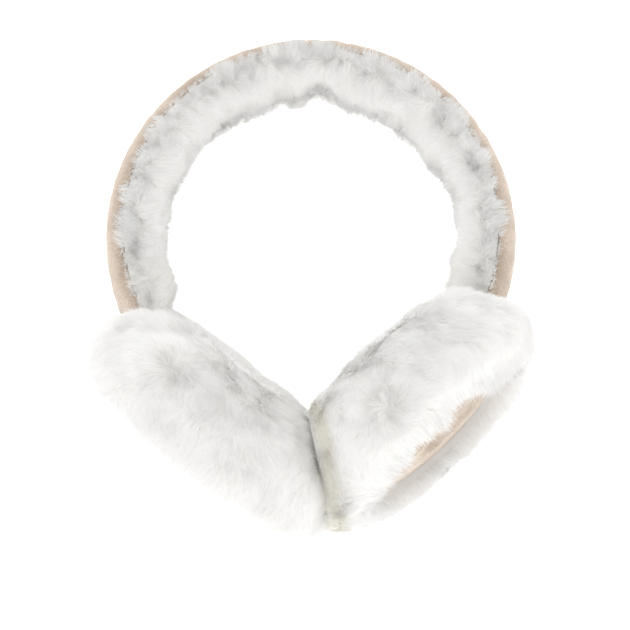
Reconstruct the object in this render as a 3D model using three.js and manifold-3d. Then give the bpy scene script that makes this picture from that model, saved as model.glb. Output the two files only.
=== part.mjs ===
// Fur earmuffs. A sprung shearling headband, suede outside and fleece inside, ends in two round
// fleece pads, each with a gathered suede disc let into its outer face.
// Units are millimetres. The earmuffs are drawn in their own plane, x across, y up to the crown of
// the band and z to the front, and are then laid on their back the way they rest on a table.

import * as THREE from 'three';
import { mergeVertices } from 'three/addons/utils/BufferGeometryUtils.js';
import Module from 'manifold-3d';

const wasm = await Module();
wasm.setup();

// Fits
const gap = 0.3; // between pieces that touch
const suedeWall = 1.6; // of every suede piece
const floorPress = 2.4; // how far the pile flattens where it rests

// Headband
const bandRadius = 81; // to the outside of the suede
const bandEndDrop = 36; // degrees below the band's centre where each end stops, inside its pad
const suedeHalfWidth = 17; // of the suede strip, from its middle to its edge
const suedeRoll = 8; // how far the strip's edges roll in
const pileHalfWidth = 20; // of the headband's fleece
const pileDepth = 16; // of the fleece, from the suede's edge towards the head

// Ear pads
const padRadius = 56; // to the rim of the pile, without its tufts
const padInnerDepth = 23; // from the pad's rim plane to its inner face
const padOuterDepth = 16.5; // from the rim plane to the lip around the suede disc
const discRadius = 35; // of the suede disc
const discSink = 7; // from the lip down to the disc
const lipRoll = 6; // width of the lip's inward roll
const pads = [
  { name: 'left', side: -1, lean: 40, twist: -13, seat: 0.34, setOff: 14.5, seed: 11 },
  { name: 'right', side: 1, lean: 42, twist: 9, seat: 0.44, setOff: 11.5, seed: 29 },
]; // lean and twist in degrees; seat is how deep the band goes in, as a share of padRadius, and
// setOff how far the pad's rim plane stands out from the band's end

// Where the two pads press together
const seamShift = 1.5; // to the right of the band's middle, at the height of the pads
const seamLean = 11; // degrees from upright

// Tufts of wool
const tuftLength = 27;
const tuftWidth = 25;
const tuftHeight = 2.8;
const tuftSink = 3.5; // of a tuft's root in the backing
const tuftCorners = [
  { along: -0.42, across: 0, height: -0.25 },
  { along: 0.05, across: 0.5, height: -0.3 },
  { along: 0.05, across: -0.5, height: -0.3 },
  { along: 0, across: 0, height: 1 },
  { along: 0.58, across: 0, height: 0.55 },
]; // shares of tuftLength, tuftWidth and tuftHeight: tail, two sides, ridge and tip
const tuftFaces = [[0, 2, 3], [0, 3, 1], [2, 4, 3], [3, 4, 1], [2, 0, 5], [0, 1, 5], [4, 2, 5], [1, 4, 5]];
const fineness = 0.95; // facets flatter than this are joined

const radians = THREE.MathUtils.degToRad;
const { smoothstep } = THREE.MathUtils;

function seededRandom(seed) {
  let state = seed;
  return () => {
    state = (state * 16807) % 2147483647;
    return state / 2147483647;
  };
}

// Solids and geometries

function toSolid(geometry) {
  const bare = geometry.clone();
  bare.deleteAttribute('normal');
  bare.deleteAttribute('uv');
  const merged = mergeVertices(bare, 1e-4);
  const index = merged.index.array;
  const corners = [];
  for (let i = 0; i < index.length; i += 3) {
    const [a, b, c] = [index[i], index[i + 1], index[i + 2]];
    if (a !== b && b !== c && c !== a) corners.push(a, b, c);
  }
  return new wasm.Manifold(new wasm.Mesh({
    numProp: 3,
    vertProperties: new Float32Array(merged.attributes.position.array),
    triVerts: new Uint32Array(corners),
  }));
}

function makeGeometry(positions, index) {
  const geometry = new THREE.BufferGeometry();
  geometry.setAttribute('position', new THREE.Float32BufferAttribute(positions, 3));
  geometry.setIndex(index);
  return geometry;
}

// The largest body of a solid, without the specks that a cut leaves beside it
function toGeometry(solid) {
  const whole = solid.decompose().reduce((a, b) => (b.volume() > a.volume() ? b : a));
  const mesh = whole.getMesh();
  const geometry = makeGeometry(Array.from(mesh.vertProperties), Array.from(mesh.triVerts));
  geometry.computeVertexNormals();
  return geometry;
}

// A closed body through rings of points, with flat ends
function loft(rings, endOutline) {
  const n = rings[0].length;
  const index = [];
  for (let i = 0; i + 1 < rings.length; i += 1) {
    for (let j = 0; j < n; j += 1) {
      const a = i * n + j;
      const b = i * n + ((j + 1) % n);
      index.push(a, b + n, b, a, a + n, b + n);
    }
  }
  const last = (rings.length - 1) * n;
  for (const [a, b, c] of THREE.ShapeUtils.triangulateShape(endOutline, [])) {
    index.push(a, b, c, last + a, last + c, last + b);
  }
  return makeGeometry(rings.flat().flatMap((p) => p.toArray()), index);
}

// A tuft laid on a surface, which takes distances along and across it and a height off it
function tuftOn(surface, combAngle, size) {
  const [c, s] = [Math.cos(combAngle) * size, Math.sin(combAngle) * size];
  const corners = tuftCorners.map((corner) => {
    const [along, across] = [corner.along * tuftLength, corner.across * tuftWidth];
    return surface(along * c - across * s, along * s + across * c, corner.height * tuftHeight * size);
  });
  corners.push(surface(0, 0, -tuftSink));
  return toSolid(makeGeometry(corners.flatMap((p) => p.toArray()), tuftFaces.flat()));
}

// Headband

const seamRadius = bandRadius - suedeRoll; // where suede and fleece meet
const lineRadius = seamRadius + (suedeRoll - pileDepth) / 2; // middle of the band's thickness
const bandSweep = 180 + 2 * bandEndDrop;
const nearPads = 36; // degrees of the band, from each end, that a pad may hold or touch
const suedeStations = 28;
const fleeceStations = 25;
const tuftStart = 25; // degrees from each end of the band to its first tufts

function arcPoint(turn, radius, depth) {
  const a = radians(turn - bandEndDrop);
  return new THREE.Vector3(radius * Math.cos(a), radius * Math.sin(a), depth);
}

function sweepBand(section, stations, from = 0, to = bandSweep) {
  const rings = Array.from({ length: stations }, (_, i) => {
    const turn = from + ((to - from) * i) / (stations - 1);
    return section(turn).map((p) => arcPoint(turn, p.x, p.y));
  });
  return toSolid(loft(rings, section(from)));
}

// Half an ellipse on the strip's edge line, bulging outwards, from its back edge to its front
function halfEllipse(points, depth, halfWidth) {
  return Array.from({ length: points }, (_, i) => {
    const a = Math.PI * (i / (points - 1) - 0.5);
    return new THREE.Vector2(seamRadius + depth * Math.cos(a), halfWidth * Math.sin(a));
  });
}

function suedeSection(grow) {
  const inset = suedeWall + grow;
  const outside = halfEllipse(7, suedeRoll + grow, suedeHalfWidth + grow);
  const inside = halfEllipse(7, suedeRoll - inset, suedeHalfWidth - inset).reverse();
  const edge = grow > 0 ? [suedeHalfWidth + grow, suedeHalfWidth - inset] : [];
  const frontEdge = edge.map((z) => new THREE.Vector2(seamRadius - grow, z));
  const backEdge = edge.map((z) => new THREE.Vector2(seamRadius - grow, -z)).reverse();
  return [...outside, ...frontEdge, ...inside, ...backEdge];
}

// The pile thins towards the band's ends, inside the pads
function pileShare(turn) {
  return 0.3 + 0.7 * smoothstep(Math.min(turn, bandSweep - turn), 0, 17);
}

// Swells and hollows of the pile along the band: at and reach in degrees from its right end, swell
// as a share of pileDepth
const bandSwells = [
  { at: 52, reach: 8, swell: -0.13 },
  { at: 72, reach: 7, swell: 0.1 },
  { at: 99, reach: 8, swell: 0.1 },
  { at: 123, reach: 7, swell: -0.28 },
  { at: 138, reach: 4, swell: -0.16 },
  { at: 146, reach: 5, swell: 0.1 },
  { at: 170, reach: 9, swell: -0.05 },
  { at: 210, reach: 6, swell: -0.06 },
];

function bandSwell(turn) {
  return bandSwells.reduce((sum, row) => sum + row.swell * Math.exp(-(((turn - row.at) / row.reach) ** 2)), pileShare(turn));
}

// A point of the pile's face: share goes round it from the back edge (-1) to the front (1)
function pilePoint(turn, share, height) {
  const a = (Math.PI / 2) * share;
  const [c, s] = [Math.cos(a), Math.sin(a)];
  const square = (x) => Math.sign(x) * Math.abs(x) ** 0.72;
  const depth = (pileDepth - gap) * bandSwell(turn) * square(c);
  return new THREE.Vector2(
    seamRadius - gap - depth - height * c,
    pileHalfWidth * square(s) + height * s,
  );
}

function fleeceSection(turn) {
  const under = suedeWall + gap;
  const channel = halfEllipse(5, suedeRoll - under, suedeHalfWidth - under);
  const belly = Array.from({ length: 9 }, (_, i) => pilePoint(turn, 1 - i / 4, 0));
  const shoulder = new THREE.Vector2(seamRadius - gap, suedeHalfWidth - under);
  return [...channel, shoulder, ...belly, new THREE.Vector2(shoulder.x, -shoulder.y)];
}

// How far tufts may stand off the band's outline: not at all where a pad can hold or touch it
function freeRise(turn) {
  return 3 * tuftHeight * smoothstep(Math.min(turn, bandSweep - turn), nearPads, nearPads + 10);
}

// Outline of everything that goes into a pad
function bandOutline(turn, grow) {
  const halfWidth = pileHalfWidth + grow;
  const outside = Array.from({ length: 7 }, (_, i) => {
    const a = Math.PI * (i / 6 - 0.5);
    return new THREE.Vector2(seamRadius + (suedeRoll + 2 * grow) * Math.cos(a), halfWidth * Math.sin(a));
  });
  const inner = seamRadius - pileDepth * pileShare(turn) - 2 * grow;
  const corner = inner + (seamRadius - inner) * 0.3;
  const inside = [[corner, 1], [inner, 0.7], [inner, -0.7], [corner, -1]];
  return [...outside, ...inside.map(([radius, share]) => new THREE.Vector2(radius, halfWidth * share))];
}

// The room that an end of the band takes in its pad
function bandRoom(pad) {
  const end = THREE.MathUtils.radToDeg(gap / lineRadius);
  const section = (turn) => bandOutline(turn, gap + freeRise(turn));
  return pad.side < 0
    ? sweepBand(section, 20, bandSweep / 2, bandSweep + end)
    : sweepBand(section, 20, -end, bandSweep / 2);
}

const bandRows = [
  { share: -0.72, comb: 180, size: 0.85 },
  { share: -0.16, comb: 180, size: 1.1 },
  { share: 0.36, comb: 0, size: 1.05 },
  { share: 0.8, comb: 0, size: 0.6 },
]; // share is the row's place round the pile, comb the way its tips lie in degrees

function bandTufts() {
  const random = seededRandom(5);
  const reach = (pileDepth + pileHalfWidth) * 0.88; // round the pile, from its middle to its edge
  const spacing = THREE.MathUtils.radToDeg((tuftWidth * 0.95) / lineRadius);
  const count = Math.floor((bandSweep - 2 * tuftStart) / spacing);
  return bandRows.flatMap((row, k) => Array.from({ length: count }, (_, i) => {
    const root = tuftStart + spacing * (i + 0.25 + (k % 2) * 0.5 + 0.3 * (random() - 0.5));
    const surface = (u, v, height) => {
      const turn = root + THREE.MathUtils.radToDeg(v / lineRadius);
      const p = pilePoint(turn, row.share + u / reach, height);
      return arcPoint(turn, p.x, p.y);
    };
    const comb = radians(row.comb + 70 * (random() - 0.5));
    return tuftOn(surface, comb, row.size * (0.8 + 0.4 * random()));
  }));
}

// The pads hold the pile in at the band's ends
const room = sweepBand((turn) => bandOutline(turn, freeRise(turn)), 2 * fleeceStations);
const suedeStrip = sweepBand(() => suedeSection(0), suedeStations);
const suedeRoom = sweepBand(() => suedeSection(gap), suedeStations);
const bandFleece = wasm.Manifold.union([sweepBand(fleeceSection, fleeceStations), ...bandTufts()])
  .simplify(fineness)
  .intersect(room)
  .subtract(suedeRoom);

// Ear pads, in their own frame: z out through the suede disc, x along the lean

const padSides = 20;
const discFloor = padOuterDepth - discSink - suedeWall - gap; // of the pocket that takes the disc
const pocketRadius = (discRadius + gap) / Math.cos(Math.PI / padSides); // to the pocket's corners
const lipRadius = pocketRadius + lipRoll;

// Half section of the pad, inner face first, as radius and height
function padProfile() {
  const bulge = (x) => Math.abs(x) ** 0.68;
  const quarter = (count, from, to, at) => Array.from({ length: count }, (_, i) => {
    const a = radians(from + ((to - from) * i) / (count - 1));
    return at(Math.cos(a), Math.sin(a));
  });
  const inner = quarter(6, 90, 0, (c, s) => [padRadius * bulge(c), -padInnerDepth * bulge(s)]);
  const outer = quarter(5, 0, 90, (c, s) => [lipRadius + (padRadius - lipRadius) * bulge(c), padOuterDepth * bulge(s)]);
  const roll = quarter(3, 90, 0, (c, s) => [
    pocketRadius + lipRoll * (1 - c),
    discFloor + (padOuterDepth - discFloor) * s,
  ]);
  inner[0][0] = 0;
  return [...inner, ...outer.slice(1), ...roll.slice(1), [0, discFloor]].map(([r, z]) => new THREE.Vector2(r, z));
}

// Partings and hollows in the pile: around in degrees about the pad, up as a share of its depth,
// reach and depth as shares of padRadius
const padDents = [
  { around: 95, up: 0.1, reach: 0.3, depth: 0.045 },
  { around: 130, up: -0.35, reach: 0.26, depth: 0.04 },
  { around: 40, up: -0.2, reach: 0.34, depth: 0.035 },
  { around: 200, up: 0.2, reach: 0.3, depth: 0.04 },
  { around: 265, up: -0.1, reach: 0.36, depth: 0.04 },
  { around: 320, up: 0.3, reach: 0.3, depth: 0.035 },
];

function dented(point) {
  const radius = Math.hypot(point.x, point.y);
  const drop = padDents.reduce((sum, dent) => {
    const a = radians(dent.around);
    const middle = new THREE.Vector3(padRadius * Math.cos(a), padRadius * Math.sin(a), padOuterDepth * dent.up);
    const away = point.distanceTo(middle) / (dent.reach * padRadius);
    return sum + dent.depth * padRadius * Math.exp(-away * away);
  }, 0);
  const shrink = 1 - (drop * smoothstep(radius, discRadius, padRadius)) / Math.max(radius, 1);
  return new THREE.Vector3(point.x * shrink, point.y * shrink, point.z);
}

function padBacking() {
  const body = new THREE.LatheGeometry(padProfile(), padSides).rotateX(Math.PI / 2);
  const position = body.attributes.position;
  const point = new THREE.Vector3();
  for (let i = 0; i < position.count; i += 1) {
    position.setXYZ(i, ...dented(point.fromBufferAttribute(position, i)).toArray());
  }
  return toSolid(body);
}

// Rings of tufts, combed from the middle of the inner face out over the rim to the lip
function padTufts(seed) {
  const random = seededRandom(seed);
  const curve = new THREE.SplineCurve(padProfile().slice(0, -3));
  const reach = curve.getLength();
  const rows = Math.round(reach / (tuftLength * 0.62));
  return Array.from({ length: rows }, (_, k) => {
    const start = (k + 0.4) / rows;
    const ringRadius = curve.getPointAt(start).x;
    const count = Math.max(3, Math.round((2 * Math.PI * ringRadius) / (tuftWidth * 0.95)));
    return Array.from({ length: count }, (_unused, i) => {
      const root = (2 * Math.PI * (i + (k % 2) * 0.5 + 0.4 * (random() - 0.5))) / count;
      const surface = (u, v, height) => {
        const t = THREE.MathUtils.clamp(start + u / reach, 0, 1);
        const [p, along] = [curve.getPointAt(t), curve.getTangentAt(t)];
        const around = root - v / Math.max(ringRadius, tuftWidth / 2);
        const radius = p.x + height * along.y;
        return dented(new THREE.Vector3(radius * Math.cos(around), radius * Math.sin(around), p.y - height * along.x));
      };
      return tuftOn(surface, 1.1 * (random() - 0.5), 0.85 + 0.35 * random());
    });
  }).flat();
}

// Gathers across the suede disc: at as a share of discRadius, rise over the disc's floor in mm
const discRows = [
  { at: -0.98, rise: 0 },
  { at: -0.82, rise: 0.5 },
  { at: -0.64, rise: 0.7 },
  { at: -0.52, rise: 3 },
  { at: -0.4, rise: 1.1 },
  { at: -0.24, rise: 1.5 },
  { at: -0.14, rise: 3.4 },
  { at: -0.02, rise: 1.4 },
  { at: 0.2, rise: 2 },
  { at: 0.31, rise: 3.6 },
  { at: 0.42, rise: 1.2 },
  { at: 0.62, rise: 1.5 },
  { at: 0.8, rise: 0.6 },
  { at: 0.98, rise: 0 },
];

function suedeDisc() {
  const columns = 8;
  const section = (row) => {
    const half = discRadius * Math.sqrt(1 - row.at ** 2);
    const top = Array.from({ length: columns }, (_, i) => {
      const share = 1 - (2 * i) / (columns - 1);
      const lift = discFloor + gap + suedeWall + row.rise * (1 - Math.abs(share) ** 3);
      return new THREE.Vector2(half * share, lift);
    });
    const under = top.map((p) => new THREE.Vector2(p.x, p.y - suedeWall)).reverse();
    return [...top, ...under];
  };
  const rings = discRows.map((row) => section(row).map((p) => new THREE.Vector3(p.x, row.at * discRadius, p.y)));
  return loft(rings, section(discRows[0]));
}

// Pad frame to earmuffs frame
function padPlace(pad) {
  const [lean, twist] = [radians(pad.lean), radians(pad.twist)];
  const along = new THREE.Vector3(-pad.side * Math.cos(lean), -Math.sin(lean), 0);
  const flat = new THREE.Vector3(pad.side * Math.sin(lean), -Math.cos(lean), 0);
  const out = flat.clone().multiplyScalar(Math.cos(twist)).setZ(Math.sin(twist));
  const across = new THREE.Vector3().crossVectors(out, along);
  const centre = arcPoint(pad.side > 0 ? 0 : bandSweep, lineRadius, 0)
    .addScaledVector(along, padRadius * (1 - pad.seat))
    .addScaledVector(flat, pad.setOff);
  return new THREE.Matrix4().makeBasis(along, across, out).setPosition(centre);
}

// The half of space past the plane where the two pads press together
function beyondSeam(pad) {
  const size = 4 * padRadius;
  const padHeight = (pads[0].place.elements[13] + pads[1].place.elements[13]) / 2;
  return toSolid(new THREE.BoxGeometry(size, size, size)
    .translate(-pad.side * (size / 2 - gap / 2), 0, 0)
    .rotateZ(radians(seamLean))
    .translate(seamShift, padHeight, 0));
}

function padFleece(pad) {
  const discRoom = new THREE.CylinderGeometry(pocketRadius, pocketRadius, padOuterDepth, padSides)
    .rotateX(Math.PI / 2)
    .translate(0, 0, discFloor + padOuterDepth / 2);
  const woolly = wasm.Manifold.union([padBacking(), ...padTufts(pad.seed)])
    .simplify(fineness)
    .subtract(toSolid(discRoom));
  return toSolid(toGeometry(woolly).applyMatrix4(pad.place))
    .subtract(bandRoom(pad))
    .subtract(beyondSeam(pad));
}

for (const pad of pads) pad.place = padPlace(pad);
for (const pad of pads) pad.fleece = padFleece(pad);

// Laid on their back, the earmuffs rest on both pads and on the crown of the band

function lowest(geometry, tilt) {
  const position = geometry.attributes.position;
  let low = Infinity;
  for (let i = 0; i < position.count; i += 1) {
    low = Math.min(low, position.getZ(i) * Math.cos(tilt) - position.getY(i) * Math.sin(tilt));
  }
  return low;
}

function restingTilt(padShapes, bandShape) {
  let [flat, steep] = [0, radians(40)];
  for (let step = 0; step < 30; step += 1) {
    const tilt = (flat + steep) / 2;
    const padLow = Math.max(...padShapes.map((shape) => lowest(shape, tilt)));
    if (padLow < lowest(bandShape, tilt)) flat = tilt;
    else steep = tilt;
  }
  return flat;
}

const padShapes = pads.map((pad) => toGeometry(pad.fleece));
const bandShape = toGeometry(bandFleece);
const tilt = restingTilt(padShapes, bandShape);
const floorLevel = Math.max(...[...padShapes, bandShape].map((shape) => lowest(shape, tilt))) + floorPress;
const floorSize = 8 * bandRadius;
const floor = toSolid(new THREE.BoxGeometry(floorSize, floorSize, floorSize)
  .translate(0, 0, floorLevel - floorSize / 2)
  .rotateX(tilt));

// Materials and assembly

const suede = { color: 0xd9c3ae, roughness: 0.95, metalness: 0 };
const fleece = { color: 0xf1efeb, roughness: 1, metalness: 0 };

function piece(name, geometry, finish) {
  const mesh = new THREE.Mesh(geometry, new THREE.MeshStandardMaterial(finish));
  mesh.name = name;
  return mesh;
}

const earmuffs = new THREE.Group();
earmuffs.add(piece('headband_suede', toGeometry(suedeStrip), suede));
earmuffs.add(piece('headband_fleece', toGeometry(bandFleece.subtract(floor)), fleece));

for (const pad of pads) {
  const holder = new THREE.Group();
  pad.place.decompose(holder.position, holder.quaternion, holder.scale);
  const wool = toGeometry(pad.fleece.subtract(floor)).applyMatrix4(pad.place.clone().invert());
  holder.add(piece(`${pad.name}_pad_fleece`, wool, fleece));
  holder.add(piece(`${pad.name}_pad_suede`, suedeDisc(), suede));
  earmuffs.add(holder);
}

earmuffs.rotation.x = -tilt;
earmuffs.updateMatrixWorld(true);
const box = new THREE.Box3().setFromObject(earmuffs, true);
const middle = box.getCenter(new THREE.Vector3());
earmuffs.position.set(-middle.x, -middle.y, -floorLevel);

export default earmuffs;
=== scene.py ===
# Fur earmuffs lying on their back: the looks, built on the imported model.
# Lengths are in millimetres and turned to metres where a mesh is made. Three frames are used:
# the pad's own (z out through its suede disc), the loop's (x across, y to the crown, z to the
# front) and the row's, in which the loop leans back on the floor.
import math
from functools import partial
import bpy
import numpy as np
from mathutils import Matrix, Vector, kdtree


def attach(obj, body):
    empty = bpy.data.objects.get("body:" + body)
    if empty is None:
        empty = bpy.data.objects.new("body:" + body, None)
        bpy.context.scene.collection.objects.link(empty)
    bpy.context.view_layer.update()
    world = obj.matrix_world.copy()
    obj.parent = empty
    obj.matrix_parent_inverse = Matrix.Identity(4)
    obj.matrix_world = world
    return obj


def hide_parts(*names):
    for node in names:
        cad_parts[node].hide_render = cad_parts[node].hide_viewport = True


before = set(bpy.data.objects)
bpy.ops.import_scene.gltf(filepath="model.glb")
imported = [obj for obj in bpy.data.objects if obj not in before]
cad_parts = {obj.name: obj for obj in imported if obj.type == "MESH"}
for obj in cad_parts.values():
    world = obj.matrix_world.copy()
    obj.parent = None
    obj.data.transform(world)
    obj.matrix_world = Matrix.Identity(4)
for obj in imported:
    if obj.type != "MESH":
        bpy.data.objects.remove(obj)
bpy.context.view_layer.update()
print("frame loaded")

# The same sizes as the model's
gap = 0.3
bandRadius = 81.0  # to the outside of the suede
bandEndDrop = 36.0  # degrees below the band's centre where its ends stop
suedeHalfWidth = 17.0
suedeRoll = 8.0
suedeWall = 1.6
pileHalfWidth = 20.0
pileDepth = 16.0
padRadius = 56.0
padInnerDepth = 23.0
padOuterDepth = 16.5
discRadius = 35.0
discSink = 7.0
lipRoll = 6.0
lean = {"tilt": -13.62, "x": -1.59, "y": 20.26, "z": 35.69}  # the loop's frame in the row's
# lean and twist in degrees; seat is how deep the band goes in, as a share of padRadius, and setOff how
# far the pad's rim plane stands out from the band's end; brushedOut, lowEnd and highEnd are how far
# the pile of its inner face and of its rim's two ends is fluffed out
pads = [
    {"name": "left", "side": -1, "lean": 40, "twist": -13, "seat": 0.34, "setOff": 14.5,
     "brushedOut": 3.4, "lowEnd": 3.0, "highEnd": 2.2, "seed": 11},
    {"name": "right", "side": 1, "lean": 42, "twist": 9, "seat": 0.44, "setOff": 11.5,
     "brushedOut": 1.6, "lowEnd": 3.4, "highEnd": 1.2, "seed": 29},
]
seam = {"shift": 1.5, "lean": 11.0}  # where the pads press together
seamRadius = bandRadius - suedeRoll
lineRadius = seamRadius + (suedeRoll - pileDepth) / 2
bandSweep = 180 + 2 * bandEndDrop
tiltAngle = math.radians(lean["tilt"])

# Frames

def asArray(*columns):
    return np.stack(np.broadcast_arrays(*columns), axis=-1).astype(float)


def unit(v):
    return v / np.maximum(np.linalg.norm(v, axis=-1, keepdims=True), 1e-9)


def arcPoint(turn, radius, depth):
    a = np.radians(turn - bandEndDrop)
    return asArray(radius * np.cos(a), radius * np.sin(a), depth)


def loopToRow(points):
    c, s = math.cos(tiltAngle), math.sin(tiltAngle)
    turned = np.array([[1, 0, 0], [0, c, -s], [0, s, c]])
    return points @ turned.T + np.array([lean["x"], lean["y"], lean["z"]])


def padFrame(pad):
    a, t = math.radians(pad["lean"]), math.radians(pad["twist"])
    along = np.array([-pad["side"] * math.cos(a), -math.sin(a), 0])
    flat = np.array([pad["side"] * math.sin(a), -math.cos(a), 0])
    out = flat * math.cos(t) + np.array([0, 0, math.sin(t)])
    end = arcPoint(0 if pad["side"] > 0 else bandSweep, lineRadius, 0)
    centre = end + along * padRadius * (1 - pad["seat"]) + flat * pad["setOff"]
    return np.array([along, np.cross(out, along), out]), centre


for pad in pads:
    pad["axes"], pad["centre"] = padFrame(pad)
seamAngle = math.radians(seam["lean"])
seamStart = np.array([seam["shift"], (pads[0]["centre"][1] + pads[1]["centre"][1]) / 2, 0])
seamAway = np.array([math.cos(seamAngle), math.sin(seamAngle), 0])  # towards the right pad
wayUp = np.array([0, math.sin(tiltAngle), math.cos(tiltAngle)])  # off the floor, in the loop's frame


def padToLoop(pad, points):
    return points @ pad["axes"] + pad["centre"]


# Noise and small sums

def smoothstep(x, low, high):
    t = np.clip((x - low) / (high - low), 0, 1)
    return t * t * (3 - 2 * t)


def waves(points, wavelength, seed):
    # smooth noise of about -1 to 1 over points
    terms = 7
    rng = np.random.default_rng(seed)
    total = 0
    for _ in range(terms):
        k = unit(rng.normal(size=points.shape[-1])) * 2 * math.pi / (wavelength * rng.uniform(0.7, 1.5))
        total = total + np.sin(points @ k + rng.uniform(0, 2 * math.pi))
    return total / math.sqrt(terms)


# Meshes

def makeMesh(name, points, faces):
    # faces: a list of integer arrays, one for each number of corners
    mesh = bpy.data.meshes.new(name)
    mesh.vertices.add(len(points))
    mesh.vertices.foreach_set("co", (points * 0.001).astype(np.float32).ravel())
    loops = np.concatenate([f.ravel() for f in faces])
    counts = np.concatenate([np.full(len(f), f.shape[1]) for f in faces])
    mesh.loops.add(len(loops))
    mesh.loops.foreach_set("vertex_index", loops.astype(np.int32))
    mesh.polygons.add(len(counts))
    mesh.polygons.foreach_set("loop_start", (np.cumsum(counts) - counts).astype(np.int32))
    mesh.polygons.foreach_set("loop_total", counts.astype(np.int32))
    mesh.update(calc_edges=True)
    mesh.validate()
    mesh.polygons.foreach_set("use_smooth", np.full(len(counts), True))
    piece = bpy.data.objects.new(name, mesh)
    bpy.context.scene.collection.objects.link(piece)
    return piece


def gridFaces(rows, columns):
    # faces of a grid of points, whose rows close on themselves
    i, j = np.meshgrid(np.arange(rows - 1), np.arange(columns), indexing="ij")
    a, b = i * columns + j, i * columns + (j + 1) % columns
    return np.stack([a, b, b + columns, a + columns], axis=-1).reshape(-1, 4)


def endFaces(rows, columns):
    # the two faces that close such a grid's first and last rows
    j = np.arange(columns)
    return np.stack([j, j[::-1] + (rows - 1) * columns])


def addShade(piece, name, values):
    # a value at each point, for the materials to read
    piece.data.attributes.new(name, "FLOAT", "POINT").data.foreach_set("value", values.astype(np.float32))


# Surfaces of the pile. Each takes two distances on it and a height off it.

# Swells and hollows of the band's pile: at and reach in degrees, swell as a share of its depth
bandSwells = [
    {"at": 52, "reach": 8, "swell": -0.13},
    {"at": 72, "reach": 7, "swell": 0.1},
    {"at": 99, "reach": 8, "swell": 0.1},
    {"at": 123, "reach": 7, "swell": -0.28},
    {"at": 138, "reach": 4, "swell": -0.16},
    {"at": 146, "reach": 5, "swell": 0.1},
    {"at": 170, "reach": 9, "swell": -0.05},
    {"at": 210, "reach": 6, "swell": -0.06},
]


def pileShare(turn):
    # the pile thins towards the band's ends, inside the pads
    return 0.3 + 0.7 * smoothstep(np.minimum(turn, bandSweep - turn), 0, 17)


def bandSwell(turn):
    share = pileShare(turn)
    for row in bandSwells:
        share = share + row["swell"] * np.exp(-((turn - row["at"]) / row["reach"]) ** 2)
    return share


def bulge(x, power):
    # squares off a round section
    return np.sign(x) * np.abs(x) ** power


def crownShare(turn):
    # 1 at the crown of the loop, 0 down its two sides
    return smoothstep(np.sin(np.radians(turn - bandEndDrop)), 0.35, 0.9)


# how far the skin under the hairs lies in from the model's pile, and its lumps, in mm
bandPile = {"inset": 4.8, "edgeInset": 1.5, "crownInset": 0.7, "bulge": 0.72,
            "lump": 0.9, "lumpSize": 17.0, "smallLump": 0.5, "smallSize": 7.0}


def bandSurface(turn, share, height):
    # share goes round the pile from its back edge (-1) to its front (1)
    a = np.pi / 2 * share
    c, s = np.cos(a), np.sin(a)
    away = np.abs(share)
    spot = arcPoint(turn, lineRadius - 12 * c, pileHalfWidth * s)
    lumps = bandPile["lump"] * waves(spot, bandPile["lumpSize"], seed=3)
    lumps = lumps + bandPile["smallLump"] * waves(spot, bandPile["smallSize"], seed=4)
    inset = bandPile["inset"] - (bandPile["inset"] - bandPile["edgeInset"]) * smoothstep(away, 0.05, 0.6)
    inset = inset + bandPile["crownInset"] * crownShare(turn) * (1 - smoothstep(away, 0.1, 0.5))
    rise = height - inset + lumps * smoothstep(1 - away, 0, 0.15)
    depth = (pileDepth - gap) * bandSwell(turn) * bulge(c, bandPile["bulge"])
    width = pileHalfWidth * bulge(s, bandPile["bulge"])
    return arcPoint(turn, seamRadius - gap - depth - rise * c, width + rise * s)


padPile = {"inset": 1.8, "bulge": 0.68, "lowEndSize": 0.55, "highEndSize": 0.5,
           "lump": 1.0, "lumpSize": 26.0, "smallLump": 0.25, "smallSize": 9.0}
quarterPoints, evenPoints, smoothing = 40, 400, 8  # of the outline's quarters and of its even copy


def padOutline():
    # half section of the pad's pile, from the middle of its inner face to the suede disc
    lip = discRadius + gap + lipRoll
    discLevel = padOuterDepth - discSink
    a = np.radians(np.linspace(90, 0, quarterPoints))
    c, s = bulge(np.cos(a), padPile["bulge"]), bulge(np.sin(a), padPile["bulge"])
    inner = asArray(padRadius * c, -padInnerDepth * s)
    outer = asArray(lip + (padRadius - lip) * c, padOuterDepth * s)[::-1][1:]
    roll = asArray(lip - lipRoll * np.cos(a), discLevel + (padOuterDepth - discLevel) * np.sin(a))
    outline = np.concatenate([inner, outer, roll[1:]])
    steps = np.concatenate([[0], np.cumsum(np.linalg.norm(np.diff(outline, axis=0), axis=1))])
    return outline, steps


outline, outlineSteps = padOutline()
padReach = outlineSteps[-1]
rimReach = outlineSteps[quarterPoints - 1]  # from the inner face's middle to the rim
lipReach = outlineSteps[2 * quarterPoints - 2]  # to the top of the lip
evenSteps = np.linspace(0, padReach, evenPoints)
evenOutline = np.stack([np.interp(evenSteps, outlineSteps, outline[:, k]) for k in (0, 1)], axis=1)
smoothed = np.pad(evenOutline, ((smoothing, smoothing), (0, 0)), mode="edge")
evenWeights = np.ones(2 * smoothing + 1) / (2 * smoothing + 1)
smoothed = np.stack([np.convolve(smoothed[:, k], evenWeights, "valid") for k in (0, 1)], axis=1)
evenTangent = unit(np.gradient(smoothed, axis=0))


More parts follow.
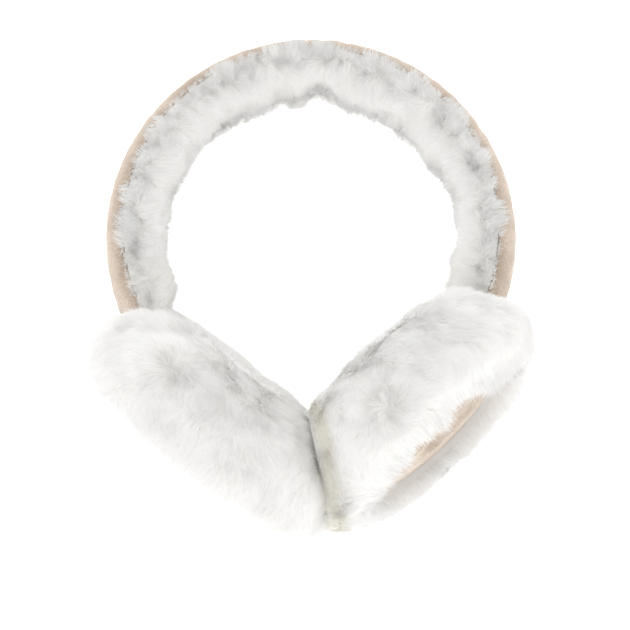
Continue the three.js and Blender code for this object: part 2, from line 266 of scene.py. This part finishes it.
def padSurface(pad, reach, around, height):
    # reach goes from the middle of the inner face over the rim and the lip to the suede disc
    r = np.interp(reach, evenSteps, evenOutline[:, 0])
    z = np.interp(reach, evenSteps, evenOutline[:, 1])
    tr = np.interp(reach, evenSteps, evenTangent[:, 0])
    tz = np.interp(reach, evenSteps, evenTangent[:, 1])
    c, s = np.cos(around), np.sin(around)
    spot = asArray(r * c, r * s, z)
    lumps = padPile["lump"] * waves(spot, padPile["lumpSize"], pad["seed"])
    lumps = lumps + padPile["smallLump"] * waves(spot, padPile["smallSize"], pad["seed"] + 1)
    fade = 1 - 0.7 * smoothstep(reach, rimReach, lipReach) - 0.3 * smoothstep(reach, lipReach, padReach)
    brushed = pad["brushedOut"] * (1 - smoothstep(reach, 0.6 * rimReach, 1.1 * rimReach))
    rim = smoothstep(reach, 0.5 * rimReach, rimReach) * (1 - smoothstep(reach, rimReach, lipReach))
    turn = np.abs((around + np.pi) % (2 * np.pi) - np.pi)  # from the pad's lowest point
    ends = pad["lowEnd"] * np.exp(-(turn / padPile["lowEndSize"]) ** 2)
    ends = ends + pad["highEnd"] * np.exp(-((np.pi - turn) / padPile["highEndSize"]) ** 2)
    rise = height - padPile["inset"] + lumps * fade + brushed + rim * ends
    radius = np.maximum(r + rise * tz, 0)
    return asArray(radius * c, radius * s, z - rise * tr)


def surfaceFrame(surface, u, v, du, dv):
    # points with the directions of growing u and v and the way out
    point = surface(u, v, 0.0)
    alongU = surface(u + du, v, 0.0) - surface(u - du, v, 0.0)
    alongV = surface(u, v + dv, 0.0) - surface(u, v - dv, 0.0)
    out = surface(u, v, 1.0) - point
    normal = np.cross(alongU, alongV)
    normal = normal * np.sign(np.sum(normal * out, axis=-1, keepdims=True))
    normal = unit(normal + 0.15 * unit(out))
    u1 = unit(alongU - normal * np.sum(alongU * normal, axis=-1, keepdims=True))
    return point, u1, np.cross(normal, u1), normal


# Fur

def nearest(centres, points):
    tree = kdtree.KDTree(len(centres))
    for i, c in enumerate(centres):
        tree.insert(c, i)
    tree.balance()
    return np.array([tree.find(p)[1] for p in points])


def growFur(root, flow, normal, fur, seed, land=None):
    # a strand from each root, as its root and tip, drawn together into locks of two sizes
    rng = np.random.default_rng(seed)
    n = len(root)
    length = fur["length"] * rng.uniform(0.6, 1.3, (n, 1)) * fur["lengthShare"][:, None]
    lift = np.radians(fur["lift"] + rng.normal(0, fur["liftSpread"], n))[:, None]
    heading = unit(flow + np.cross(normal, flow) * rng.normal(0, fur["spread"], (n, 1)))
    step, rise = heading * length * np.cos(lift), length * np.sin(lift)
    tip = land(step, rise[:, 0]) if land else root + step + normal * rise
    for lock in fur["locks"]:
        chosen = rng.choice(n, int(n / lock["strands"]), replace=False)
        mine = nearest(root[chosen], root)
        pull = np.clip(rng.normal(lock["pull"], 0.12, (n, 1)), 0, 0.95)
        target = tip[chosen][mine] + 0.25 * (root - root[chosen][mine])
        tip = tip * (1 - pull) + target * pull
    tip = tip + rng.normal(0, fur["frizz"], (n, 3))
    return np.stack([root, tip], axis=1)


def furMesh(name, strands, normal, fur, creaseShade, deep, seed):
    # flat blades that taper to a point, each turned a little round its own line; a blade faces out of
    # the pile and up, as the lit side of a round hair does
    rng = np.random.default_rng(seed)
    n = len(strands)
    facing = unit(normal + fur["upturn"] * wayUp)
    line = unit(strands[:, 1] - strands[:, 0])
    side = unit(np.cross(line, facing))
    roll = rng.uniform(-0.35, 0.35, (n, 1))  # radians
    side = side * np.cos(roll) + np.cross(side, line) * np.sin(roll)
    half = side * (fur["width"] * rng.uniform(0.7, 1.3, (n, 1)) / 2)
    points = np.stack([strands[:, 0] - half, strands[:, 0] + half, strands[:, 1]], axis=1).reshape(-1, 3)
    piece = makeMesh(name, loopToRow(points), [np.arange(3 * n).reshape(-1, 3)])
    # fine hair takes the light as the whole pile does: its normals are the pile's, a little unsettled
    broad = loopToRow(unit(facing + rng.normal(0, fur["unsettled"], normal.shape))) - loopToRow(np.zeros(3))
    piece.data.normals_split_custom_set_from_vertices(np.repeat(broad, 3, axis=0).astype(np.float32))
    addShade(piece, "reach", np.tile([0.0, 0.0, 1.0], n))
    addShade(piece, "own", np.repeat(rng.uniform(0, 1, n), 3))
    # painted warm shade in the creases between the parts
    addShade(piece, "creaseShade", np.repeat(creaseShade, 3))
    # painted shade of the roots in partings and in patches of the pile
    addShade(piece, "deep", np.repeat(deep, 3))
    return piece


# where the pile stops, in mm: over is how far a pad's pile runs past the seam, leastMore and mostMore
# what a single hair adds to it
press = {"over": 0.8, "leastMore": -1.8, "mostMore": 2.6, "floorGap": 0.15, "floorMore": 0.5}


def pressed(points, side, rng, loose=0.0):
    # the pile stops at the other pad and at the floor
    away = seamAway * side
    flatPoints = points.reshape(-1, 3)
    n = len(flatPoints)
    if side:
        over = press["over"] + loose * rng.uniform(press["leastMore"], press["mostMore"], n)
        past = np.minimum((flatPoints - seamStart) @ away + over, 0)
        flatPoints = flatPoints - past[:, None] * away
    low = flatPoints @ wayUp + lean["z"] - press["floorGap"] - rng.uniform(0, press["floorMore"], n)
    flatPoints = flatPoints - np.minimum(low, 0)[:, None] * wayUp
    return flatPoints.reshape(points.shape)


# Headband suede

suedeBand = {"stations": 220, "points": 22, "waver": 0.4, "waverSize": 30.0,
             "dimple": 0.18, "dimpleSize": 6.0}


def bandSuedeMesh():
    turns = np.linspace(0, bandSweep, suedeBand["stations"])
    a = np.pi * (np.linspace(0, 1, suedeBand["points"]) - 0.5)
    rings = []
    for inset in (0, suedeWall):
        radius = seamRadius + (suedeRoll - inset) * np.cos(a)
        depth = (suedeHalfWidth - inset) * np.sin(a)
        rings.append(np.stack([radius, depth], axis=1))
    section = np.concatenate([rings[0], rings[1][::-1]])
    turn = np.repeat(turns, len(section))
    radius, depth = np.tile(section[:, 0], len(turns)), np.tile(section[:, 1], len(turns))
    spot = arcPoint(turn, radius, depth)
    edge = np.abs(depth) / suedeHalfWidth
    waver = suedeBand["waver"] * waves(spot, suedeBand["waverSize"], seed=71) * edge ** 2
    dimple = suedeBand["dimple"] * waves(spot, suedeBand["dimpleSize"], seed=72)
    points = arcPoint(turn, radius + dimple, depth + waver * np.sign(depth))
    faces = gridFaces(len(turns), len(section))[:, ::-1]
    ends = endFaces(len(turns), len(section))
    piece = makeMesh("headbandSuede", loopToRow(points), [faces, ends])
    # how far out towards the roll's outer edge: for painted highlight there and painted shade towards the
    # fleece
    addShade(piece, "edge", np.clip((radius - seamRadius) / suedeRoll, 0, 1))
    return piece


headbandSuede = bandSuedeMesh()
print("headband suede")

# Suede discs

disc = {"rows": 90, "columns": 70, "dome": 1.2, "pucker": 0.35, "puckerSize": 5.0}
# gathers across the disc: at and width as shares of its radius, rise in mm
pleats = [
    {"at": -0.52, "width": 0.1, "rise": 2.4},
    {"at": -0.14, "width": 0.09, "rise": 2.8},
    {"at": 0.08, "width": 0.06, "rise": 1.2},
    {"at": 0.31, "width": 0.09, "rise": 3.0},
    {"at": 0.6, "width": 0.08, "rise": 1.3},
]


def discMesh(pad):
    ring = (np.arange(1, disc["rows"] + 1) / disc["rows"])[:, None]
    a = np.linspace(0, 2 * np.pi, disc["columns"], endpoint=False)[None, :]
    x, y = (ring * np.cos(a)).ravel(), (ring * np.sin(a)).ravel()
    x, y = np.append(x, 0), np.append(y, 0)
    share = np.hypot(x, y)
    drawn = asArray(x, y) * discRadius * np.array([0.3, 1])  # puckers run along the pleats
    rise = disc["dome"] + disc["pucker"] * waves(drawn, disc["puckerSize"], pad["seed"] + 5)
    for pleat in pleats:
        away = (y - pleat["at"] - 0.05 * np.sin(4 * x + pleat["at"] * 9)) / pleat["width"]
        rise = rise + pleat["rise"] * np.exp(-away ** 2)
    top = padOuterDepth - discSink + rise * (1 - share ** 3)
    upper = asArray(x * discRadius, y * discRadius, top)
    lower = asArray(x * discRadius, y * discRadius, top - suedeWall)
    points = np.concatenate([upper, lower])
    columns, n = disc["columns"], len(upper)
    quads = gridFaces(disc["rows"], columns)
    j = np.arange(columns)
    following = (j + 1) % columns
    hub = np.stack([np.full(columns, n - 1), j, following], axis=1)
    rim = (disc["rows"] - 1) * columns
    wall = rim + np.stack([j, j + n, following + n, following], axis=1)
    piece = makeMesh(pad["name"] + "PadSuede", loopToRow(padToLoop(pad, points)),
                     [quads[:, ::-1], hub, quads + n, (hub + n)[:, ::-1], wall])
    addShade(piece, "edge", np.full(2 * n, 0.9))
    return piece


for pad in pads:
    pad["disc"] = discMesh(pad)
print("suede discs")

# Headband fleece

bandSkin = {"stations": 300, "points": 60, "backPoints": 9, "endGap": 0.2}
# lengths in mm, angles in degrees; spread is how far single hairs swing aside, as a slope, and upturn
# how far the blades face up rather than out of the pile
bandFur = {"strands": 170000, "length": 6.6, "lift": 62, "laidDown": 34, "liftSpread": 12,
           "spread": 0.5, "frizz": 0.35, "width": 0.24, "unsettled": 0.12, "upturn": 1.0,
           "locks": [{"strands": 30, "pull": 0.3}, {"strands": 260, "pull": 0.3}]}
# swirl and curl swing the hair to either side, over distances in mm; edgeFrom and edgeTo are shares of
# the way from the pile's middle to its edge, where the hair turns outwards and is shorter
# the last three set painted shade: patches of root shade along the pile's edges, their size in mm, and warm
# shade where the band runs into the pads
bandComb = {"swirl": 0.45, "swirlSize": 16, "curl": 0.2, "curlSize": 7,
            "edgeFrom": 0.72, "edgeTo": 0.9, "edgeShort": 0.5, "edgeLift": 8, "spillLong": 0.8,
            "uneven": 0.2, "unevenSize": 12, "hollows": 0.35, "hollowSize": 8, "bandEndShade": 0.12}
# tufts that spill over the suede's front edge: at and width in degrees round the loop from its right
# side, reach as a share of the hair's length
spills = [
    {"at": 93, "width": 8, "reach": 1.0},
    {"at": 170, "width": 2.5, "reach": 0.5},
    {"at": 179, "width": 2, "reach": 0.55},
    {"at": 185, "width": 2.5, "reach": 0.5},
    {"at": 118, "width": 3, "reach": 0.4},
    {"at": 2, "width": 3, "reach": 0.8},
    {"at": 39, "width": 4, "reach": 0.6},
    {"at": 55, "width": 3, "reach": 0.6},
    {"at": 69, "width": 4, "reach": 0.7},
    {"at": 22, "width": 3, "reach": 0.4},
    {"at": 145, "width": 3, "reach": 0.35},
]


def bandSkinMesh():
    turn = np.linspace(bandSkin["endGap"], bandSweep - bandSkin["endGap"], bandSkin["stations"])[:, None]
    face = bandSurface(turn, np.linspace(-1, 1, bandSkin["points"]), 0.0)
    a = np.pi * (np.linspace(1, 0, bandSkin["backPoints"]) - 0.5)
    under = suedeWall + gap
    depth = (suedeHalfWidth - under) * np.sin(a)
    back = arcPoint(turn, seamRadius + (suedeRoll - under) * np.cos(a), depth)
    points = pressed(np.concatenate([face, back], axis=1), 0, np.random.default_rng(1))
    rows, columns = points.shape[:2]
    faces, ends = gridFaces(rows, columns), endFaces(rows, columns)[:, ::-1]
    return makeMesh("headbandFleece", loopToRow(points.reshape(-1, 3)), [faces, ends])


def bandFurMesh():
    rng = np.random.default_rng(21)
    n = bandFur["strands"]
    turn = rng.uniform(4, bandSweep - 4, n)
    share = np.sign(rng.uniform(-0.85, 1.15, n)) * rng.uniform(0, 1.02, n) ** 0.85  # more at the front
    root, alongTurn, _, normal = surfaceFrame(bandSurface, turn, share, 0.15, 0.01)
    little = 0.02
    acrossBand = bandSurface(turn, share + little, 0.0) - bandSurface(turn, share - little, 0.0)
    perShare = np.linalg.norm(acrossBand, axis=1) / (2 * little)
    perTurn = np.radians(np.hypot(root[:, 0], root[:, 1]))
    acrossBand = unit(acrossBand)
    spill = np.zeros(n)
    for tuft in spills:
        past = (turn - bandEndDrop - tuft["at"]) / tuft["width"]
        spill = np.maximum(spill, tuft["reach"] * np.exp(-past ** 2))
    spill = spill * smoothstep(share, 0.62, bandComb["edgeTo"])
    # hair is combed to the pile's middle, swings to both sides, and turns outwards along its edges
    away = np.abs(share)
    swirl = bandComb["swirl"] * waves(root, bandComb["swirlSize"], seed=31)
    swirl = swirl + bandComb["curl"] * waves(root, bandComb["curlSize"], seed=32)
    ragged = away + 0.06 * waves(root, 9, seed=33)
    edge = smoothstep(ragged, bandComb["edgeFrom"], bandComb["edgeTo"])
    crown = 0.3 + 0.7 * crownShare(turn)
    outward = np.clip(edge * (0.75 + 0.4 * waves(root, 6, seed=34)) + spill, 0, 1)
    inward = -np.sign(share)[:, None] * acrossBand * smoothstep(away, 0.02, 0.3)[:, None]
    flow = inward * (1 - 2 * outward[:, None])
    flow = flow + alongTurn * (swirl * (0.75 - 0.4 * outward))[:, None]
    flow = unit(flow - normal * np.sum(flow * normal, axis=-1, keepdims=True) + 1e-6)
    fur = dict(bandFur)
    inner = 1 - smoothstep(away, 0.1, 0.45)
    lengthShare = 1 - (bandComb["edgeShort"] + 0.08 * crown) * edge - 0.1 * inner * crown
    lengthShare = lengthShare + bandComb["spillLong"] * spill
    uneven = bandComb["uneven"] * waves(root, bandComb["unevenSize"], seed=35)
    fur["lengthShare"] = lengthShare * (1 + uneven)
    laid = bandFur["laidDown"] * smoothstep(away, 0.0, 0.5)
    fur["lift"] = bandFur["lift"] - laid + bandComb["edgeLift"] * edge

    def land(step, rise):
        # tips follow the band's round form, but stand free past its edges
        onward = np.sum(step * acrossBand, axis=1) / perShare
        sideways = np.sum(step * alongTurn, axis=1) / perTurn
        along = bandSurface(turn + sideways, np.clip(share + onward, -1, 1), rise)
        loose = smoothstep(away, 0.5, 0.75)[:, None]
        return along * (1 - loose) + (root + step + normal * rise[:, None]) * loose

    strands = pressed(growFur(root, flow, normal, fur, 22, land), 0, rng)
    # painted warm shade where the band runs into the pads
    creaseShade = bandComb["bandEndShade"] * (1 - smoothstep(np.minimum(turn, bandSweep - turn), 18, 30))
    # patches of painted root shade along the pile's edges
    shadedPatch = np.clip(waves(root, bandComb["hollowSize"], seed=36), 0, 1)
    deep = bandComb["hollows"] * edge * shadedPatch
    return furMesh("headbandFur", strands, normal, bandFur, creaseShade, deep, 23)


headbandFleece = bandSkinMesh()
headbandFur = bandFurMesh()
print("headband fleece")

# Ear pad fleece

padSkin = {"rings": 110, "spokes": 150, "start": 0.3}
# strands are for each of a pad's two meshes of hair
padFur = {"strands": 148000, "length": 7.2, "lift": 24, "liftSpread": 11,
          "spread": 0.5, "frizz": 0.4, "width": 0.26, "unsettled": 0.12, "upturn": 0.7,
          "locks": [{"strands": 36, "pull": 0.35}, {"strands": 380, "pull": 0.35}]}
# combed from the middle of the inner face out over the rim; near is the side of the lip that is seen
# in the photo, where the hair stands up and is long
# the last two paint warm shade into the crease where the pads press together, over a reach in mm
padComb = {"strength": 0.75, "swirl": 0.6, "swirlSize": 30, "curl": 0.35, "curlSize": 9,
           "squeeze": 0.7, "squeezeReach": 5.0, "lipShort": 0.25, "nearLong": 0.68,
           "lipLift": 8, "nearLift": 44, "wallLift": 10, "uneven": 0.2, "unevenSize": 20,
           "seamShade": 0.6, "seamShadeReach": 2.4}
# where the hair parts and streams away: around the pad in degrees, reach from the inner face's middle
# as a share of the way to the rim, strength, size in mm, and how much painted shade of the roots shows
partings = {
    "left": [
        {"around": 110, "reach": 0.84, "strength": 1.3, "size": 15, "deep": 0.4},
        {"around": 84, "reach": 0.8, "strength": 0.4, "size": 14, "deep": 0.3},
        {"around": 66, "reach": 0.95, "strength": 0.4, "size": 14, "deep": 0.3},
    ],
    "right": [
        {"around": -73, "reach": 1.11, "strength": 1.8, "size": 14, "deep": 0.7},
        {"around": -120, "reach": 0.75, "strength": 0.4, "size": 15, "deep": 0.3},
        {"around": -30, "reach": 1.0, "strength": 0.4, "size": 15, "deep": 0.3},
    ],
}


def insideBand(points, grow):
    # which points are within the band's own outline
    radius = np.hypot(points[:, 0], points[:, 1])
    turn = np.degrees(np.arctan2(points[:, 1], points[:, 0])) + bandEndDrop
    turn = np.where(turn < -100, turn + 360, turn)
    end = np.minimum(turn, bandSweep - turn)
    inner = seamRadius - pileDepth * pileShare(turn) - grow
    within = (end > -1) & (np.abs(points[:, 2]) < pileHalfWidth + grow)
    return within & (radius > inner) & (radius < bandRadius + grow)


def padSkinMesh(pad):
    rings, spokes = padSkin["rings"], padSkin["spokes"]
    reach = np.linspace(padSkin["start"], padReach, rings)[:, None]
    around = np.linspace(0, 2 * np.pi, spokes, endpoint=False)
    points = padSurface(pad, reach, around, 0.0).reshape(-1, 3)
    points = pressed(padToLoop(pad, points), pad["side"], np.random.default_rng(2))
    faces, ends = gridFaces(rings, spokes)[:, ::-1], endFaces(rings, spokes)
    return makeMesh(pad["name"] + "PadFleece", loopToRow(points), [faces, ends])


def padFurMesh(pad, part):
    rng = np.random.default_rng(pad["seed"] * 10 + part)
    n = padFur["strands"]
    many = rng.uniform(0, 1, (3 * n, 3))  # more than needed, thinned out to an even spread
    reach = 1.0 + (padReach - 3.0) * many[:, 0]
    weight = np.interp(reach, evenSteps, evenOutline[:, 0]) / padRadius
    weight = weight * (0.45 + 0.55 * smoothstep(reach, rimReach * 0.35, rimReach * 0.75))
    kept = np.flatnonzero(many[:, 1] < weight)[:n]
    reach, around = reach[kept], 2 * np.pi * many[kept, 2]
    root, alongReach, _, normal = surfaceFrame(partial(padSurface, pad), reach, around, 0.4, 0.01)
    free = ~insideBand(padToLoop(pad, root), 0.5)
    root, alongReach, normal, reach, around = (v[free] for v in (root, alongReach, normal, reach, around))
    front = pad["axes"][:, 2]  # the loop's front, which lies uppermost, in the pad's own frame
    side = np.cos(around) * front[0] + np.sin(around) * front[1]
    # pressed together, the two pads' hairs turn up along the seam
    fromSeam = (padToLoop(pad, root) - seamStart) @ seamAway
    squeeze = np.exp(-(fromSeam / padComb["squeezeReach"]) ** 2)
    lip = smoothstep(reach, lipReach - 7, lipReach + 3)
    wall = smoothstep(reach, lipReach + 2, lipReach + 4)
    near = smoothstep(side, -0.2, 0.5)
    outward = lip * (1 - near)
    flow = alongReach * (padComb["strength"] * (1 - 1.8 * outward))[:, None]
    # painted shade of the roots where the hair parts
    deep = np.zeros(len(root))
    for parting in partings[pad["name"]]:
        at = parting["reach"] * rimReach
        centre = padSurface(pad, np.array([at]), np.array([math.radians(parting["around"])]), 0.0)[0]
        away = root - centre
        far = np.linalg.norm(away, axis=1, keepdims=True)
        push = parting["strength"] * np.exp(-(far / parting["size"]) ** 2)
        flow = flow + push * away / np.maximum(far, 1)
        deep = deep + parting["deep"] * np.exp(-(2.4 * far[:, 0] / parting["size"]) ** 2)
    deep = np.clip(deep * (1 + waves(root, 4.5, pad["seed"] + 6)), 0, 1)
    flow = flow * (1 - padComb["squeeze"] * squeeze[:, None]) + squeeze[:, None] * front
    turned = padComb["swirl"] * waves(root, padComb["swirlSize"], pad["seed"] + 2)
    turned = turned + padComb["curl"] * waves(root, padComb["curlSize"], pad["seed"] + 3)
    turned = turned * (1 - 0.6 * lip)
    flow = flow - normal * np.sum(flow * normal, axis=-1, keepdims=True)
    flow = unit(unit(flow) + np.cross(normal, unit(flow)) * turned[:, None])
    fur = dict(padFur)
    lengthShare = 1 - padComb["lipShort"] * lip + padComb["nearLong"] * lip * near
    uneven = padComb["uneven"] * waves(root, padComb["unevenSize"], pad["seed"] + 4)
    fur["lengthShare"] = lengthShare * (1 + uneven)
    steep = 1 - smoothstep(normal @ front, -0.2, 0.9)
    lift = padFur["lift"] * (1 - 0.6 * steep * (1 - lip))
    lift = lift + lip * (padComb["lipLift"] + padComb["nearLift"] * near)
    fur["lift"] = lift + padComb["wallLift"] * wall
    out = np.maximum(np.hypot(root[:, 0], root[:, 1]), 6.0)  # from the pad's axis
    ring = asArray(-np.sin(around), np.cos(around), 0)

    def land(step, rise):
        # tips follow the pad's round form
        onward, sideways = np.sum(step * alongReach, axis=1), np.sum(step * ring, axis=1)
        return padSurface(pad, reach + onward, around + sideways / out, rise)

    strands = growFur(root, flow, normal, fur, pad["seed"] * 7 + part, land)
    strands = pressed(padToLoop(pad, strands), pad["side"], rng, 1.0)
    # painted warm shade in the crease along the seam
    toSeam = (strands[:, 0] - seamStart) @ seamAway
    creaseShade = padComb["seamShade"] * np.exp(-(toSeam / padComb["seamShadeReach"]) ** 2)
    name = pad["name"] + "PadFur" + str(part)
    return furMesh(name, strands, normal @ pad["axes"], padFur, creaseShade, deep, pad["seed"] + part)


for pad in pads:
    pad["skin"] = padSkinMesh(pad)
    pad["fur"] = [padFurMesh(pad, part) for part in (1, 2)]
    print(pad["name"], "pad fleece")


# Materials

def linear(code):
    # a hex colour as the renderer's linear one
    values = [int(code[i:i + 2], 16) / 255 for i in (1, 3, 5)]
    return [v / 12.92 if v <= 0.04045 else ((v + 0.055) / 1.055) ** 2.4 for v in values] + [1]


def startMaterial(name):
    material = bpy.data.materials.new(name)
    material.use_nodes = True
    tree = material.node_tree
    return material, tree, tree.nodes["Principled BSDF"]


def addNode(tree, kind, settings=(), links=()):
    # a node with its settings, and links as (socket to fill, the socket that fills it)
    node = tree.nodes.new(kind)
    for key, value in dict(settings).items():
        if isinstance(key, int) or key in node.inputs:
            node.inputs[key].default_value = value
        else:
            setattr(node, key, value)
    for key, source in links:
        tree.links.new(source, node.inputs[key])
    return node


def setInputs(node, values):
    for name, value in values.items():
        node.inputs[name].default_value = value


def readShade(tree, name):
    # a value that addShade gave the mesh
    return addNode(tree, "ShaderNodeAttribute", {"attribute_name": name}).outputs["Fac"]


def roughen(tree, shader, source, strength, distance):
    settings = {"Strength": strength, "Distance": distance}
    bump = addNode(tree, "ShaderNodeBump", settings, [("Height", source)])
    tree.links.new(bump.outputs["Normal"], shader.inputs["Normal"])


def colourRamp(tree, source, stops):
    ramp = addNode(tree, "ShaderNodeValToRGB", (), [("Fac", source)])
    elements = ramp.color_ramp.elements
    while len(elements) < len(stops):
        elements.new(0.5)
    for element, (at, code) in zip(elements, stops):
        element.position, element.color = at, linear(code)
    return ramp.outputs["Color"]


def mixColours(tree, share, first, second, blend="MIX"):
    # two colours, each a socket or a value, mixed by a share that is also either
    mix = addNode(tree, "ShaderNodeMix", {"data_type": "RGBA", "blend_type": blend})
    for index, value in ((0, share), (6, first), (7, second)):
        if isinstance(value, bpy.types.NodeSocket):
            tree.links.new(value, mix.inputs[index])
        else:
            mix.inputs[index].default_value = value
    return mix.outputs[2]


def lambWool():
    # dyed lamb's pile, brushed out: white tips over roots a little darker and warmer, partly their own tone
    # and partly painted shade deep in the pile, light passing through the hairs
    material, tree, shader = startMaterial("brushedLambWool")
    # roots a little darker than the tips: partly the hair's own tone, partly painted shade deep in the pile
    rootToTip = [(0.0, "#F1F0EE"), (0.45, "#FAFAF9"), (1.0, "#FFFFFF")]
    hairToHair = [(0.0, "#EEEDEC"), (0.5, "#FFFFFF"), (1.0, "#FFFEFC")]
    depth = colourRamp(tree, readShade(tree, "reach"), rootToTip)
    vary = colourRamp(tree, readShade(tree, "own"), hairToHair)
    colour = mixColours(tree, 1.0, depth, vary, "MULTIPLY")
    # painted warm shade in the crease where the pads press together and where the band runs into them,
    # and painted shade of the roots in partings and in patches along the band's edges
    for name, code in (("creaseShade", "#EFECDF"), ("deep", "#EAE9E8")):
        colour = mixColours(tree, readShade(tree, name), colour, linear(code), "MULTIPLY")
    tree.links.new(colour, shader.inputs["Base Color"])
    setInputs(shader, {"Roughness": 0.85, "Specular IOR Level": 0.2})
    through = addNode(tree, "ShaderNodeBsdfTranslucent", (), [("Color", colour)])
    # light falls on the outer side of a hair, so from its inner side it is seen to glow through
    inner = addNode(tree, "ShaderNodeNewGeometry").outputs["Backfacing"]
    glow = {"operation": "MULTIPLY_ADD", 1: 0.83, 2: 0.12}
    share = addNode(tree, "ShaderNodeMath", glow, [(0, inner)]).outputs[0]
    parts = [(0, share), (1, shader.outputs["BSDF"]), (2, through.outputs["BSDF"])]
    both = addNode(tree, "ShaderNodeMixShader", (), parts)
    tree.links.new(both.outputs["Shader"], tree.nodes["Material Output"].inputs["Surface"])
    return material


def underWool():
    # the dense underwool that the hairs stand in: a warm pale ground, painted darker as shade in its
    # hollows
    material, tree, shader = startMaterial("lambUnderwool")
    grainAndShade = addNode(tree, "ShaderNodeTexNoise", {"Scale": 500.0, "Detail": 3.0}).outputs["Fac"]
    colour = colourRamp(tree, grainAndShade, [(0.3, "#F0EDE8"), (0.7, "#FAF9F7")])
    tree.links.new(colour, shader.inputs["Base Color"])
    setInputs(shader, {"Roughness": 1.0, "Specular IOR Level": 0.1})
    roughen(tree, shader, grainAndShade, 0.6, 0.001)
    return material


def sheepSuede():
    # the skin side of a shearling hide, buffed to a short nap: chalky, mottled, with painted highlight
    # along its outer edge and painted shade towards the fleece
    material, tree, shader = startMaterial("buffedShearlingSuede")
    where = [("Vector", addNode(tree, "ShaderNodeTexCoord").outputs["Object"])]
    cloud = addNode(tree, "ShaderNodeTexNoise", {"Scale": 90.0, "Detail": 4.0}, where).outputs["Fac"]
    fine = {"Scale": 1300.0, "Detail": 4.0, "Roughness": 0.7}
    nap = addNode(tree, "ShaderNodeTexNoise", fine, where).outputs["Fac"]
    ground = colourRamp(tree, cloud, [(0.3, "#BFB1A1"), (0.7, "#E1D4C6")])
    fleck = colourRamp(tree, nap, [(0.38, "#D6CEC7"), (0.62, "#FFFFFF")])
    mottled = mixColours(tree, 0.8, ground, fleck, "MULTIPLY")
    # painted highlight towards the suede's outer edge, painted shade towards the fleece
    edgeLightStops = [(0.0, "#E9E0D7"), (0.5, "#F3ECE5"), (0.85, "#F8F2EC"), (1.0, "#FFFFFF")]
    edgeLightAndShade = colourRamp(tree, readShade(tree, "edge"), edgeLightStops)
    colour = mixColours(tree, 1.0, mottled, edgeLightAndShade, "MULTIPLY")
    tree.links.new(colour, shader.inputs["Base Color"])
    setInputs(shader, {"Roughness": 0.95, "Specular IOR Level": 0.15, "Sheen Weight": 0.25,
                       "Sheen Roughness": 1.0})
    roughen(tree, shader, nap, 0.35, 0.0006)
    return material


def lightTable():
    # a sheet of opal acrylic lit from under it, as small goods are shown on
    material, _, shader = startMaterial("litOpalAcrylic")
    setInputs(shader, {"Base Color": linear("#FBFBFB"), "Roughness": 1.0, "Specular IOR Level": 0.0,
                       "Emission Color": linear("#FFFFFF"), "Emission Strength": 1.0})
    return material


wool, under, suede = lambWool(), underWool(), sheepSuede()
skins = [headbandFleece] + [pad["skin"] for pad in pads]
furs = [headbandFur] + [fur for pad in pads for fur in pad["fur"]]
suedes = [headbandSuede] + [pad["disc"] for pad in pads]
for pieces, material, slot in ((skins, under, "fleece"), (furs, wool, "fleece"), (suedes, suede, "suede")):
    for piece in pieces:
        piece.data.materials.append(material)
        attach(piece, "root")
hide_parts("headband_suede")
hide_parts("headband_fleece")
for pad in pads:
    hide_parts(pad["name"] + "_pad_suede")
    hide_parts(pad["name"] + "_pad_fleece")
print("materials")

# Floor, light and camera

floorHalf = 3000.0
floorCorners = np.array([[-1, -1, 0], [1, -1, 0], [1, 1, 0], [-1, 1, 0]]) * floorHalf
floor = makeMesh("floor", floorCorners, [np.array([[0, 1, 2, 3]])])
floor.data.materials.append(lightTable())

scene = bpy.context.scene
scene.view_settings.view_transform = "Standard"
scene.cycles.diffuse_bounces = 8  # light passes from hair to hair
world = bpy.data.worlds.new("studio")
world.use_nodes = True
setInputs(world.node_tree.nodes["Background"], {"Color": linear("#FFFFFF"), "Strength": 0.93})
scene.world = world


def softLight(name, place, size, power, colour):
    # a square lamp aimed at the earmuffs
    light = bpy.data.lights.new(name, "AREA")
    light.size, light.energy, light.color = size, power, linear(colour)[:3]
    lamp = bpy.data.objects.new(name, light)
    lamp.location = place
    lamp.rotation_euler = (-Vector(place)).to_track_quat("-Z", "Y").to_euler()
    scene.collection.objects.link(lamp)


softLight("key", (0.1, -0.9, 1.1), 1.4, 3.0, "#FFFFFF")
softLight("fill", (-0.8, 0.3, 1.2), 1.2, 1.5, "#FDFEFF")

shot = {"y": -10.3, "height": 930.0, "lens": 129.0, "sensor": 36.0}  # from straight above, in mm
camera = bpy.data.objects.new("camera", bpy.data.cameras.new("camera"))
camera.location = (0, shot["y"] * 0.001, shot["height"] * 0.001)
camera.data.lens = shot["lens"]
camera.data.sensor_width = shot["sensor"]
scene.collection.objects.link(camera)
scene.camera = camera
